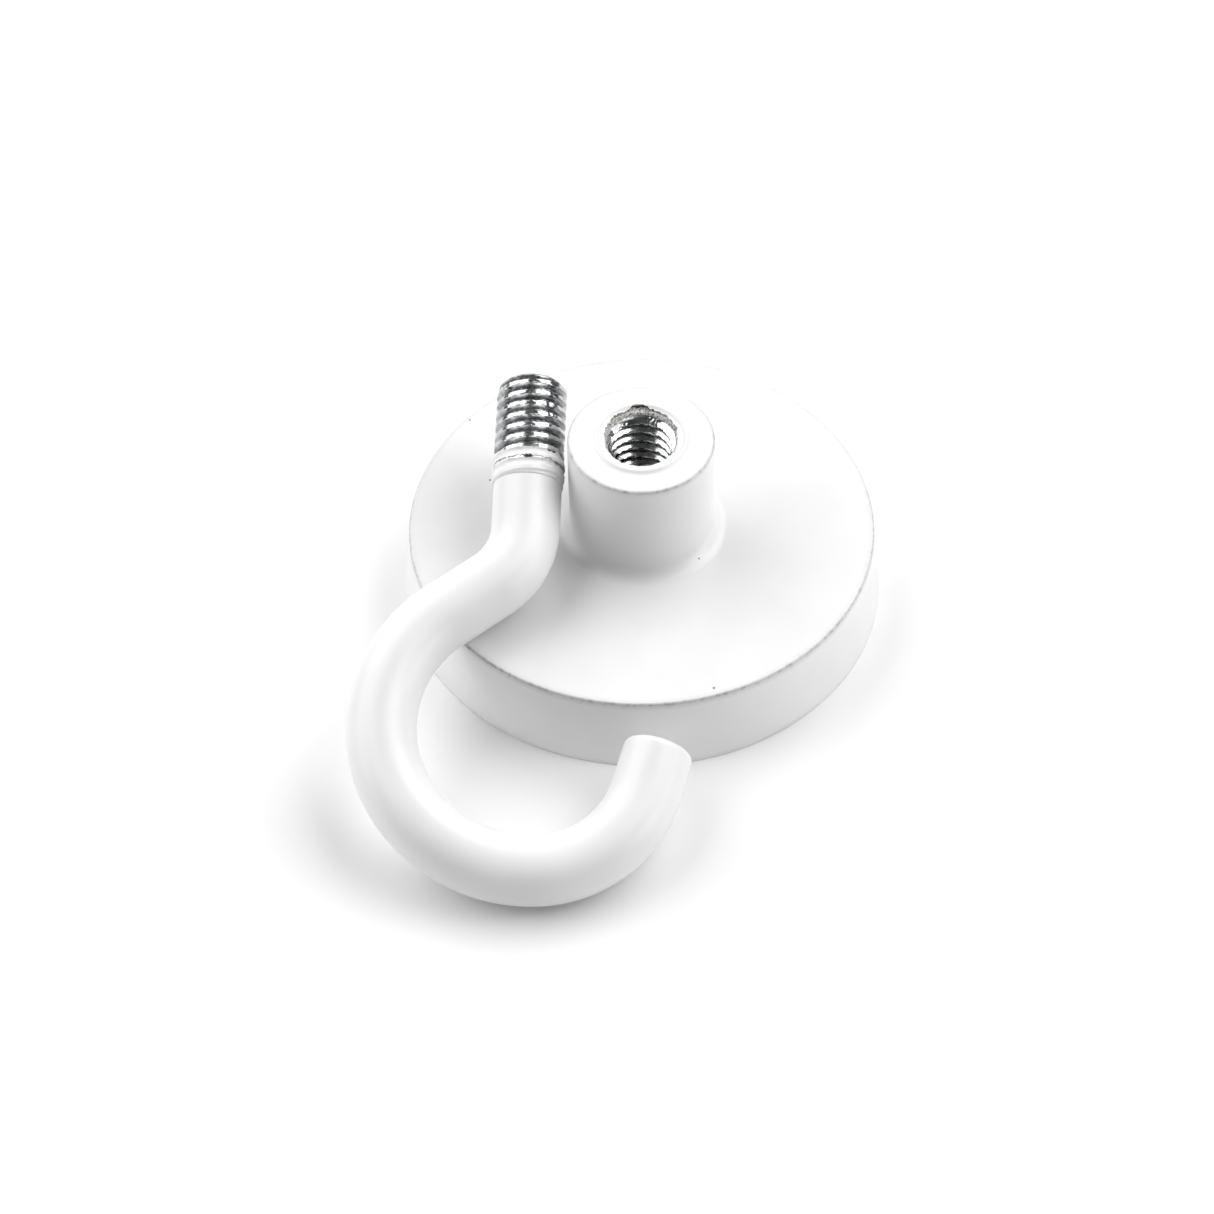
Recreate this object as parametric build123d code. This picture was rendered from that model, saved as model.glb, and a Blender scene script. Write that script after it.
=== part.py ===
from build123d import *
from math import cos, hypot, radians, sin, sqrt, tan
import os

# Pot magnet with a threaded neck, and its open screw hook lying unscrewed against it.
# Millimetres. Origin: centre of the pole face, on the floor. +Z up the neck.

# --- pot ---
POT_BASE_R = 20.8        # coated cup, outer radius at the pole face
POT_DRAFT = 0.8          # the coated wall leans in by this much up to the top edge
POT_H = 7.2              # coated cup height
COAT = 0.14              # powder coat thickness
CUP_EDGE = 0.25          # broken edge round the coated top
CUP_WALL = 2.9           # steel wall at the pole face
CUP_ROOF = 2.4           # steel above the magnet
NECK_R = 6.17            # coated neck radius
NECK_H = 10.4            # neck above the cup's top
NECK_EDGE = 0.3          # broken edge round the neck's top
FOOT_R = 1.2             # bead of coating in the corner at the neck's foot
SPIGOT_R = 4.5           # bushing spigot through the cup's roof
STAKE = 0.6              # the spigot's end is staked out by this much

# --- thread, M6 x 1 ---
PITCH = 1.0
MAJOR_R = 2.98           # hook thread crest
MINOR_R = 2.5            # neck thread crest
THREAD_GAP = 0.05        # root clearance of the mating threads
LAND = 0.16              # flat left on each crest of the hook's thread
NECK_LAND = 0.56         # wider flat left on each crest of the neck's thread
NECK_ROOT = 0.1          # width at the root of the neck's thread
HOLE_DEPTH = 10.0        # threaded depth below the neck's top
MOUTH_R = 3.15           # bare chamfer at the hole's mouth

# --- magnet ---
MAGNET_BEVEL = 0.3
RING_SET_BACK = 0.3      # resin level behind the ground pole face
GLUE = 0.1
RING_W = 1.6             # resin ring between magnet and wall

# --- hook ---
ROD_R = 2.735            # bent steel rod
THREAD_LEN = 9.4
BARE_LEN = 7.2           # thread left uncoated
TIP_CHAMFER = 0.55
SHANK_TOP = 31.06        # tip above the bow's centre
BACK_BEND_R = 6.8
BACK_BEND = 51.7         # degrees the shank turns aside
BOW_R = 12.03
BOW_SET = 1.15           # bow centre to the side of the shank
BOW_TURN = 275.4         # angle where the bow tightens
NOSE_R = 9.7
NOSE_END = 345.1         # angle where the bow ends
NOSE_LEN = 3.75          # straight end
NOSE_EDGE = 0.5          # rounding of the cut end

# --- how the loose hook lies ---
HOOK_YAW = -2.0          # degrees from straight ahead
HOOK_TWIST = 5.5         # open side of the bow tipped down
NECK_GAP = 0.35          # shank to neck
RIM_GAP = 0.10           # rod to the pot's top edge
FLOOR_GAP = 0.02         # bow to the floor
BOW_AHEAD = 1.9          # bow centre in front of the top edge

POT_TOP_R = POT_BASE_R - POT_DRAFT
STEEL_BASE_R = POT_BASE_R - COAT
STEEL_TOP_R = POT_TOP_R - COAT
STEEL_TOP_Z = POT_H - COAT
NECK_TOP_Z = POT_H + NECK_H
STEEL_NECK_TOP = NECK_TOP_Z - COAT
STEEL_NECK_R = NECK_R - COAT
CAVITY_R = STEEL_BASE_R - CUP_WALL
CAVITY_TOP = STEEL_TOP_Z - CUP_ROOF
COATED_ROD_R = ROD_R + COAT


def turned(*points):
    """Solid of revolution from (radius, height) points."""
    outline = Plane.XZ * make_face(Polyline(*points, close=True))
    return revolve(outline, Axis.Z)


def steel_cup():
    """Pressed cup, open below, with a hole in its roof for the bushing's spigot."""
    edge = CUP_EDGE
    return turned(
        (CAVITY_R, 0),
        (STEEL_BASE_R, 0),
        (STEEL_TOP_R, STEEL_TOP_Z - edge),
        (STEEL_TOP_R - edge, STEEL_TOP_Z),
        (SPIGOT_R, STEEL_TOP_Z),
        (SPIGOT_R, CAVITY_TOP + STAKE),
        (SPIGOT_R + STAKE, CAVITY_TOP),
        (CAVITY_R, CAVITY_TOP),
    )


def groove(root_r, mouth_r, root_w, mouth_w, length):
    """Helical cutter, +Z from the origin, for one thread start."""
    outline = Polyline(
        (mouth_r, -mouth_w / 2),
        (root_r, -root_w / 2),
        (root_r, root_w / 2),
        (mouth_r, mouth_w / 2),
        close=True,
    )
    path = Helix(PITCH, length, (root_r + mouth_r) / 2)
    start = path @ 0
    face = Plane.XZ * Pos(start.X - (root_r + mouth_r) / 2, 0) * make_face(outline)
    return sweep(face, path=path, is_frenet=True)


def cut_thread(body, cutter):
    """Cuts the helical groove, starting at the first angle where the cut comes out whole."""
    expected = 0.6 * cutter.volume
    for start in range(0, 360, 40):
        cut = body - Rot(Z=start) * cutter
        if cut.is_valid and body.volume - cut.volume > expected:
            return cut
    raise ValueError("the thread could not be cut")


def threaded_bushing():
    """Neck with a blind M6 thread, staked into the cup."""
    drill_end = STEEL_NECK_TOP - HOLE_DEPTH
    body = turned(
        (0, CAVITY_TOP),
        (SPIGOT_R + STAKE, CAVITY_TOP),
        (SPIGOT_R, CAVITY_TOP + STAKE),
        (SPIGOT_R, STEEL_TOP_Z),
        (STEEL_NECK_R, STEEL_TOP_Z),
        (STEEL_NECK_R, STEEL_NECK_TOP - NECK_EDGE),
        (STEEL_NECK_R - NECK_EDGE, STEEL_NECK_TOP),
        (MOUTH_R, STEEL_NECK_TOP),
        (MINOR_R, STEEL_NECK_TOP - (MOUTH_R - MINOR_R)),
        (MINOR_R, drill_end),
        (0, drill_end - MINOR_R * tan(radians(31))),
    )
    root_r = MAJOR_R + THREAD_GAP
    reach = 0.04
    mouth_w = PITCH - NECK_LAND
    slope = (mouth_w - NECK_ROOT) / 2 / (root_r - MINOR_R)
    cutter = groove(root_r, MINOR_R - reach, NECK_ROOT, mouth_w + 2 * reach * slope, HOLE_DEPTH)
    return cut_thread(body, Pos(0, 0, drill_end + PITCH) * cutter)


def cup_coating():
    """Powder coat over the cup's side and top and over the neck, open at the mouth."""
    edge = CUP_EDGE
    outer = turned(
        (0, 0),
        (POT_BASE_R, 0),
        (POT_TOP_R, POT_H - edge),
        (POT_TOP_R - edge, POT_H),
        (NECK_R, POT_H),
        (NECK_R, NECK_TOP_Z - NECK_EDGE),
        (NECK_R - NECK_EDGE, NECK_TOP_Z),
        (0, NECK_TOP_Z),
    )
    foot = outer.edges().filter_by(GeomType.CIRCLE)
    foot = [e for e in foot if abs(e.radius - NECK_R) < 1e-4 and abs(e.center().Z - POT_H) < 1e-4]
    outer = fillet(foot, FOOT_R)
    inner = turned(
        (0, 0),
        (STEEL_BASE_R, 0),
        (STEEL_TOP_R, STEEL_TOP_Z - edge),
        (STEEL_TOP_R - edge, STEEL_TOP_Z),
        (STEEL_NECK_R, STEEL_TOP_Z),
        (STEEL_NECK_R, STEEL_NECK_TOP - NECK_EDGE),
        (STEEL_NECK_R - NECK_EDGE, STEEL_NECK_TOP),
        (0, STEEL_NECK_TOP),
    )
    mouth = Pos(0, 0, STEEL_NECK_TOP) * Cylinder(MOUTH_R, 4 * COAT)
    return outer - inner - mouth


def magnet_disc():
    """Sintered magnet, ground flush with the cup's rim."""
    r = CAVITY_R - RING_W
    top = CAVITY_TOP - GLUE
    return turned(
        (0, 0),
        (r - MAGNET_BEVEL, 0),
        (r, MAGNET_BEVEL),
        (r, top),
        (0, top),
    )


def centring_ring():
    """Resin filling the gap between magnet and wall."""
    r = CAVITY_R - RING_W
    level = max(RING_SET_BACK, MAGNET_BEVEL)
    return turned(
        (r, level),
        (CAVITY_R, level),
        (CAVITY_R, CAVITY_TOP),
        (r, CAVITY_TOP),
    )


def magnet_adhesive():
    """Glue layer between the magnet and the cup's roof."""
    r = CAVITY_R - RING_W
    return Pos(0, 0, CAVITY_TOP - GLUE / 2) * Cylinder(r, GLUE)


def hook_path(shank_top, nose_len):
    """Centreline of the hook in its own XY plane, bow centre at the origin's side."""
    turn = radians(BACK_BEND)
    lean_len = BOW_R * cos(turn) - BOW_SET - BACK_BEND_R * (1 - cos(turn))
    lean_len = lean_len / sin(turn)
    bend_y = (BOW_R + BACK_BEND_R) * sin(turn) + lean_len * cos(turn)
    shank = Line((0, shank_top), (0, bend_y))
    back = CenterArc((-BACK_BEND_R, bend_y), BACK_BEND_R, 0, -BACK_BEND)
    side_end = Vector(BOW_SET - BOW_R * cos(turn), BOW_R * sin(turn))
    side = Line(back @ 1, side_end)
    start = 180 - BACK_BEND
    bow = CenterArc((BOW_SET, 0), BOW_R, start, BOW_TURN - start)
    swing = radians(BOW_TURN)
    step = BOW_R - NOSE_R
    centre = (BOW_SET + step * cos(swing), step * sin(swing))
    nose = CenterArc(centre, NOSE_R, BOW_TURN, NOSE_END - BOW_TURN)
    end = Line(nose @ 1, (nose @ 1) + (nose % 1) * nose_len)
    return Wire([shank, back, side, bow, nose, end])


def swept_rod(radius, shank_top, nose_len):
    """Round bar of one radius along the hook's centreline."""
    path = hook_path(shank_top, nose_len)
    section = Plane(origin=path @ 0, z_dir=path % 0) * Circle(radius)
    return sweep(section, path=path)


def up_shank(shape, height):
    """Stands a +Z shape along the hook's shank, its origin at this height on it."""
    return Pos(0, height, 0) * Rot(X=-90) * shape


def round_end(rod, radius):
    """Rounds the rim of the cut end of the bow."""
    rims = rod.edges().filter_by(GeomType.CIRCLE).sort_by(Axis.X)
    return fillet(rims[-1], radius)


def threaded_stud():
    """Straight end with a rolled thread standing proud of the rod, tip at the origin."""
    slope = tan(radians(30))
    reach = 0.04
    root_r = MINOR_R - THREAD_GAP
    mouth_w = PITCH - LAND
    root_w = mouth_w - 2 * (MAJOR_R - root_r) * slope
    cutter = groove(root_r, MAJOR_R + reach, root_w, mouth_w + 2 * reach * slope, THREAD_LEN)
    blank = Pos(0, 0, -THREAD_LEN / 2) * Cylinder(MAJOR_R, THREAD_LEN)
    stud = cut_thread(blank, Pos(0, 0, 1.2 * PITCH - THREAD_LEN) * cutter)
    wide = MAJOR_R + 0.5
    ends = turned(
        (0, -THREAD_LEN),
        (ROD_R, -THREAD_LEN),
        (wide, 2 * (wide - ROD_R) - THREAD_LEN),
        (wide, wide - MAJOR_R - TIP_CHAMFER),
        (MAJOR_R - TIP_CHAMFER, 0),
        (0, 0),
    )
    return stud & ends


def hook_rod():
    """Bent rod with its threaded straight end."""
    bar = round_end(swept_rod(ROD_R, SHANK_TOP - THREAD_LEN, NOSE_LEN), NOSE_EDGE)
    return bar + up_shank(threaded_stud(), SHANK_TOP)


def coated_turns():
    """Coating over the last thread turns, tip of the hook at the origin."""
    crest = MAJOR_R + COAT / 2
    sleeve = turned(
        (0, -THREAD_LEN),
        (COATED_ROD_R, -THREAD_LEN),
        (crest, -THREAD_LEN + 2 * (crest - COATED_ROD_R)),
        (crest, -BARE_LEN),
        (0, -BARE_LEN),
    )
    return sleeve - threaded_stud()


def hook_coating():
    """Powder coat over the rod, from the first covered thread turns to the cut end."""
    foot = SHANK_TOP - THREAD_LEN
    outer = round_end(swept_rod(COATED_ROD_R, foot, NOSE_LEN + COAT), NOSE_EDGE + COAT)
    inner = round_end(swept_rod(ROD_R, foot, NOSE_LEN), NOSE_EDGE)
    return (outer - inner) + up_shank(coated_turns(), SHANK_TOP)


def centreline():
    """Points and directions along the coated rod's centreline."""
    path = hook_path(SHANK_TOP, NOSE_LEN)
    steps = [i / 300 for i in range(301)]
    return [(path @ s, path % s) for s in steps]


def lie(lean, line):
    """Height of the bow's centre and gap to the pot at one lean, rod on the floor."""
    a, b, c = radians(HOOK_YAW), radians(lean), radians(-HOOK_TWIST)
    x0, y0 = hook_place()
    drop = 0.0
    spots = []
    for p, t in line:
        z = p.Y * sin(b) + p.X * sin(c) * cos(b)
        tz = t.Y * sin(b) + t.X * sin(c) * cos(b)
        x = p.X * cos(c)
        y = p.Y * cos(b) - p.X * sin(c) * sin(b)
        spots.append((x0 + x * cos(a) - y * sin(a), y0 + x * sin(a) + y * cos(a), z))
        drop = max(drop, COATED_ROD_R * sqrt(1 - tz * tz) - z)
    over_pot = spots[: len(spots) // 2]
    gap = min(pot_gap(x, y, z + drop + FLOOR_GAP) for x, y, z in over_pot)
    return drop, gap


def pot_gap(x, y, z):
    """Clear distance from a rod centre to the cup's side or top edge."""
    r = hypot(x, y)
    if z < POT_H:
        wall = POT_BASE_R - (POT_BASE_R - POT_TOP_R) * z / POT_H
        return r - wall - COATED_ROD_R
    return hypot(max(r - POT_TOP_R, 0), z - POT_H) - COATED_ROD_R


def hook_place():
    """Plan position of the bow's centre: shank beside the neck, bow ahead of the pot."""
    a = radians(HOOK_YAW)
    aside = NECK_R + MAJOR_R + NECK_GAP
    y = -(POT_TOP_R + BOW_AHEAD)
    return -aside / cos(a) - y * tan(a), y


def hook_location():
    """Where the loose hook lies: bow on the floor, shank leaning over the top edge."""
    line = centreline()
    low, high = 5.0, 40.0
    for _ in range(30):
        mid = (low + high) / 2
        if lie(mid, line)[1] > RIM_GAP:
            high = mid
        else:
            low = mid
    height = lie(high, line)[0] + FLOOR_GAP
    x, y = hook_place()
    return Pos(x, y, height) * Rot(Z=HOOK_YAW) * Rot(X=high) * Rot(Y=HOOK_TWIST)


def main():
    os.makedirs("parts", exist_ok=True)
    place = hook_location()
    nodes = {
        "steel_cup": steel_cup(),
        "threaded_bushing": threaded_bushing(),
        "cup_coating": cup_coating(),
        "magnet_disc": magnet_disc(),
        "centring_ring": centring_ring(),
        "magnet_adhesive": magnet_adhesive(),
        "hook_rod": place * hook_rod(),
        "hook_coating": place * hook_coating(),
    }
    for name, shape in nodes.items():
        export_step(shape, f"parts/{name}.step")


main()
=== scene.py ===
"""Pot magnet with a threaded neck, and its open screw hook lying unscrewed against it.

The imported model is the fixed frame. The two powder-coat shells, the bushing, the bent rod and the
resin ring are rebuilt here in finer detail. The cup, the magnet and its glue keep their own meshes,
and every piece gets its finish. Sizes in the classes are millimetres, the studio's are metres.
"""
import logging
import math
from collections.abc import Callable, Iterable
from dataclasses import dataclass
from enum import Enum

import bpy
import numpy as np
from mathutils import Matrix, Vector, noise


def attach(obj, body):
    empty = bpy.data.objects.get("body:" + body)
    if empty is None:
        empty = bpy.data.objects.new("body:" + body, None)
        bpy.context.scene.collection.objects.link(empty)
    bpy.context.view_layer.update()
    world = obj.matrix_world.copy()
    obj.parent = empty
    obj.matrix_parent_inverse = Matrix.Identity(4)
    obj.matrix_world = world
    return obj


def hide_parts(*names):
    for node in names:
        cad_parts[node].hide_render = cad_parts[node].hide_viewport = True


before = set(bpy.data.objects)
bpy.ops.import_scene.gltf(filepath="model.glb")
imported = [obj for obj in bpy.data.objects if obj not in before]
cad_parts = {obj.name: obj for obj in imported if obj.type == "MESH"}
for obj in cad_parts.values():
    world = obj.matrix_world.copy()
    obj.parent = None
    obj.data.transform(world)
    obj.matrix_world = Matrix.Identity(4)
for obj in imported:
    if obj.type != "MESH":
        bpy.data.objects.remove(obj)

MM = 0.001
log = logging.getLogger("pot_magnet")


class Body(Enum):
    """The two bodies that move apart."""

    POT = "pot_magnet"
    HOOK = "hook"


class Slot(Enum):
    """The record's finishes that the rebuilt pieces stand in for."""

    BUSHING_STEEL = "bushing_steel"
    CUP_PAINT = "white_powder_coat"
    RESIN = "potting_resin"
    ROD_STEEL = "zinc_plated_steel"
    HOOK_PAINT = "hook_powder_coat"


# --------------------------------------------------------------------------- nodes and colours


class Kind(Enum):
    """The kinds of node that the finishes are made of."""

    SHADER = "ShaderNodeBsdfPrincipled"
    OUTPUT = "ShaderNodeOutputMaterial"
    COORDS = "ShaderNodeTexCoord"
    PLACE = "ShaderNodeMapping"
    NOISE = "ShaderNodeTexNoise"
    RANGE = "ShaderNodeMapRange"
    MATH = "ShaderNodeMath"
    VECTOR = "ShaderNodeVectorMath"
    MIX = "ShaderNodeMix"
    BUMP = "ShaderNodeBump"
    WEAR = "ShaderNodeAttribute"
    SKY = "ShaderNodeBackground"
    SKY_OUTPUT = "ShaderNodeOutputWorld"
    SKY_MIX = "ShaderNodeMixShader"
    RAY = "ShaderNodeLightPath"


def linear(hex_code: str) -> tuple[float, float, float, float]:
    """Turns an sRGB hex colour into linear red, green, blue and alpha.

    Args:
        hex_code: Colour as "#RRGGBB".

    Returns:
        The four linear values.
    """
    parts = [int(hex_code[i:i + 2], 16) / 255 for i in (1, 3, 5)]
    made = [c / 12.92 if c <= 0.04045 else ((c + 0.055) / 1.055) ** 2.4 for c in parts]
    return (made[0], made[1], made[2], 1.0)


def add_node(tree: bpy.types.NodeTree, kind: Kind, settings: dict | None = None,
             links: dict | None = None) -> bpy.types.NodeSocket:
    """Adds one node with its settings and its incoming links.

    Args:
        tree: Node tree that gets the node.
        kind: Kind of node.
        settings: Values by attribute name (lower case) or by input name or number. A hex string
            given to an input is a colour.
        links: Sockets that feed it, by input name or number.

    Returns:
        The node's first live output, or its first input where it has no output.
    """
    node = tree.nodes.new(kind.value)
    for key, value in (settings or {}).items():
        if isinstance(key, str) and key[0].islower():
            setattr(node, key, value)
        else:
            node.inputs[key].default_value = linear(value) if isinstance(value, str) else value
    for key, socket in (links or {}).items():
        tree.links.new(socket, node.inputs[key])
    live = [socket for socket in node.outputs if socket.enabled]
    return live[0] if live else node.inputs[0]


def grain(size_mm: float) -> float:
    """Noise scale whose features are this many millimetres across."""
    return 1 / (size_mm * MM)


@dataclass(frozen=True)
class Finish:
    """What every finish shares: a name, a principled shader and Object coordinates."""

    name: str
    metallic: float = 0.0
    roughness: float = 0.4
    ior: float = 1.5

    def start(self) -> tuple[bpy.types.Material, bpy.types.NodeTree, bpy.types.Node,
                             bpy.types.NodeSocket]:
        """Makes the empty material.

        Returns:
            The material, its tree, its principled shader and its Object coordinates.
        """
        material = bpy.data.materials.new(self.name)
        material.use_nodes = True
        tree = material.node_tree
        tree.nodes.clear()
        made = add_node(tree, Kind.SHADER, {
            "Metallic": self.metallic, "Roughness": self.roughness, "IOR": self.ior})
        add_node(tree, Kind.OUTPUT, links={"Surface": made})
        coords = add_node(tree, Kind.COORDS).node.outputs["Object"]
        return material, tree, made.node, add_node(tree, Kind.PLACE, links={"Vector": coords})


@dataclass(frozen=True)
class PowderCoat(Finish):
    """Polyester powder coat, sprayed and baked.

    It gives the eye a clean satin white with a faint orange peel, a grey line along sharp edges that
    is partly powder drawn back from the edge and partly painted shade (on the pot's top edges), and
    a few dark specks of dirt baked in. Its roughness stays at 0.3 or more: where it varied lower,
    patches showed in the finished picture.
    """

    roughness: float = 0.34
    white: str = "#E7E7E7"
    shade: str = "#E3E3E3"
    # grey for thin paint, and for the painted shade along the pot's top edges
    thin_paint_and_edge_shade: str = "#7E7F80"
    dirt: str = "#5C5A57"
    peel_mm: float = 2.0
    peel_depth: float = 0.004
    orange_mm: float = 0.6
    orange_depth: float = 0.0006
    specks: tuple[tuple[float, float, float, float], ...] = ()

    def speck_mask(self, tree: bpy.types.NodeTree,
                   place: bpy.types.NodeSocket) -> bpy.types.NodeSocket:
        """One mask of every speck, each at its own point and size with a ragged outline.

        Args:
            tree: Node tree.
            place: Coordinates.

        Returns:
            The mask, 1 on a speck.
        """
        tremble = 0.1 * MM
        ragged_edge = add_node(tree, Kind.NOISE, {"Scale": grain(0.12), "Detail": 1.0},
                               {"Vector": place})
        shift = add_node(tree, Kind.VECTOR, {"operation": "MULTIPLY_ADD", 1: (tremble,) * 3},
                         {0: ragged_edge.node.outputs["Color"], 2: place})
        mask = None
        for x, y, z, size in self.specks:
            spot = tuple(c * MM + tremble / 2 for c in (x, y, z))
            gap = add_node(tree, Kind.VECTOR, {"operation": "DISTANCE", 1: spot}, {0: shift})
            inside = add_node(tree, Kind.RANGE,
                              {1: 0.55 * size * MM, 2: size * MM, 3: 1.0, 4: 0.0}, {0: gap})
            mask = inside if mask is None else add_node(
                tree, Kind.MATH, {"operation": "MAXIMUM"}, {0: mask, 1: inside})
        return mask

    def build(self) -> bpy.types.Material:
        """Makes the material.

        Returns:
            The material.
        """
        material, tree, shader, place = self.start()
        cloud = add_node(tree, Kind.NOISE, {"Scale": grain(7.0)}, {"Vector": place})
        tone = add_node(tree, Kind.RANGE, {1: 0.35, 2: 0.65}, {0: cloud})
        colour = add_node(tree, Kind.MIX, {"data_type": "RGBA", 6: self.white, 7: self.shade}, {0: tone})
        flakes = add_node(tree, Kind.NOISE, {"Scale": grain(0.5), "Detail": 4.0}, {"Vector": place})
        chips = add_node(tree, Kind.RANGE, {1: 0.5, 2: 0.64, 3: 0.6, 4: 1.0}, {0: flakes})
        worn = add_node(tree, Kind.WEAR, {"attribute_name": "thin_paint_and_edge_shade_mask"}).node.outputs["Fac"]
        thin_paint_and_edge_shade_mask = add_node(tree, Kind.MATH, {"operation": "MULTIPLY"}, {0: worn, 1: chips})
        # Painted shade: on the pot's top edges this grey partly stands for the shaded edge; on the hook it
        # marks thin paint on the crests.
        colour = add_node(tree, Kind.MIX, {"data_type": "RGBA", 7: self.thin_paint_and_edge_shade}, {0: thin_paint_and_edge_shade_mask, 6: colour})
        if self.specks:
            colour = add_node(tree, Kind.MIX, {"data_type": "RGBA", 7: self.dirt},
                              {0: self.speck_mask(tree, place), 6: colour})
        tree.links.new(colour, shader.inputs["Base Color"])
        haze = add_node(tree, Kind.NOISE, {"Scale": grain(3.0)}, {"Vector": place})
        rough = add_node(tree, Kind.RANGE, {1: 0.3, 2: 0.7, 3: self.roughness - 0.04,
                                            4: self.roughness + 0.05}, {0: haze})
        tree.links.new(rough, shader.inputs["Roughness"])
        under = None
        for size, depth in ((self.peel_mm, self.peel_depth), (self.orange_mm, self.orange_depth)):
            height = add_node(tree, Kind.NOISE, {"Scale": grain(size)}, {"Vector": place})
            links = {"Height": height} if under is None else {"Height": height, "Normal": under}
            under = add_node(tree, Kind.BUMP, {"Distance": depth * MM, "Strength": 1.0}, links)
        tree.links.new(under, shader.inputs["Normal"])
        return material


@dataclass(frozen=True)
class ThreadSteel(Finish):
    """Rolled or tapped thread in low-carbon steel, zinc plated.

    It gives the eye hard bright glints on the flanks, fine marks that run round the thread, painted
    shade in the roots (near-black, broken up by noise), and a stony, pitted grey where the raw end
    was never plated.
    """

    metallic: float = 1.0
    roughness: float = 0.16
    bright: str = "#DADBDC"
    dull: str = "#8C8D8F"
    # near-black: painted shade in the thread roots, and the black of the pits on the raw end
    pit_grime_and_root_shade: str = "#1D1C1B"
    dust: str = "#C9C8C5"
    stone: str = "#8B8A88"
    raw_metallic: float = 0.15
    centre: tuple[float, float, float] = (0.0, 0.0, 0.0)
    turn: tuple[float, float, float] = (0.0, 0.0, 0.0)
    streak: tuple[float, float, float] = (1.0, 1.0, 9.0)

    def build(self) -> bpy.types.Material:
        """Makes the material.

        Returns:
            The material.
        """
        material, tree, shader, place = self.start()
        place.node.vector_type = "TEXTURE"
        place.node.inputs["Location"].default_value = [c * MM for c in self.centre]
        place.node.inputs["Rotation"].default_value = self.turn
        along = add_node(tree, Kind.PLACE, {"Scale": self.streak}, {"Vector": place})
        streaks = add_node(tree, Kind.NOISE, {"Scale": grain(1.1), "Detail": 4.0}, {"Vector": along})
        blotch = add_node(tree, Kind.NOISE, {"Scale": grain(0.9), "Detail": 3.0}, {"Vector": place})
        tarnish = add_node(tree, Kind.RANGE, {1: 0.35, 2: 0.75}, {0: blotch})
        colour = add_node(tree, Kind.MIX, {"data_type": "RGBA", 6: self.bright, 7: self.dull}, {0: tarnish})
        # Painted shade: the root mask darkens the thread roots towards near-black, broken up by noise.
        root_shade_noise = add_node(tree, Kind.NOISE, {"Scale": grain(0.3), "Detail": 4.0}, {"Vector": place})
        root_shade_breakup = add_node(tree, Kind.RANGE, {1: 0.3, 2: 0.7, 3: 0.35, 4: 1.0}, {0: root_shade_noise})
        root = add_node(tree, Kind.WEAR, {"attribute_name": "root"}).node.outputs["Fac"]
        root_shade_mask = add_node(tree, Kind.MATH, {"operation": "MULTIPLY"}, {0: root, 1: root_shade_breakup})
        colour = add_node(tree, Kind.MIX, {"data_type": "RGBA", 7: self.pit_grime_and_root_shade}, {0: root_shade_mask, 6: colour})
        holes = add_node(tree, Kind.NOISE, {"Scale": grain(0.45), "Detail": 3.0}, {"Vector": place})
        pits = add_node(tree, Kind.RANGE, {1: 0.5, 2: 0.62}, {0: holes})
        pitted = add_node(tree, Kind.MIX, {"data_type": "RGBA", 6: self.stone, 7: self.pit_grime_and_root_shade}, {0: pits})
        powder = add_node(tree, Kind.NOISE, {"Scale": grain(0.16), "Detail": 4.0}, {"Vector": place})
        dusty = add_node(tree, Kind.RANGE, {1: 0.42, 2: 0.6}, {0: powder})
        stony = add_node(tree, Kind.MIX, {"data_type": "RGBA", 7: self.dust}, {0: dusty, 6: pitted})
        raw = add_node(tree, Kind.WEAR, {"attribute_name": "raw"}).node.outputs["Fac"]
        colour = add_node(tree, Kind.MIX, {"data_type": "RGBA"}, {0: raw, 6: colour, 7: stony})
        tree.links.new(colour, shader.inputs["Base Color"])
        shine = add_node(tree, Kind.RANGE, {1: 0.3, 2: 0.7, 3: self.roughness - 0.08,
                                            4: self.roughness + 0.1}, {0: streaks})
        dulled = add_node(tree, Kind.MATH, {"operation": "MAXIMUM"}, {0: root_shade_mask, 1: raw})
        rough = add_node(tree, Kind.MATH, {"operation": "MULTIPLY_ADD", 1: 0.4, "use_clamp": True},
                         {0: dulled, 2: shine})
        tree.links.new(rough, shader.inputs["Roughness"])
        metal = add_node(tree, Kind.RANGE, {3: self.metallic, 4: self.raw_metallic}, {0: raw})
        tree.links.new(metal, shader.inputs["Metallic"])
        lines = add_node(tree, Kind.BUMP, {"Distance": 0.006 * MM, "Strength": 1.0}, {"Height": streaks})
        fine = add_node(tree, Kind.NOISE, {"Scale": grain(0.14), "Detail": 3.0}, {"Vector": place})
        skin = add_node(tree, Kind.BUMP, {"Distance": 0.002 * MM, "Strength": 1.0},
                        {"Height": fine, "Normal": lines})
        tree.links.new(skin, shader.inputs["Normal"])
        return material


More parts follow.
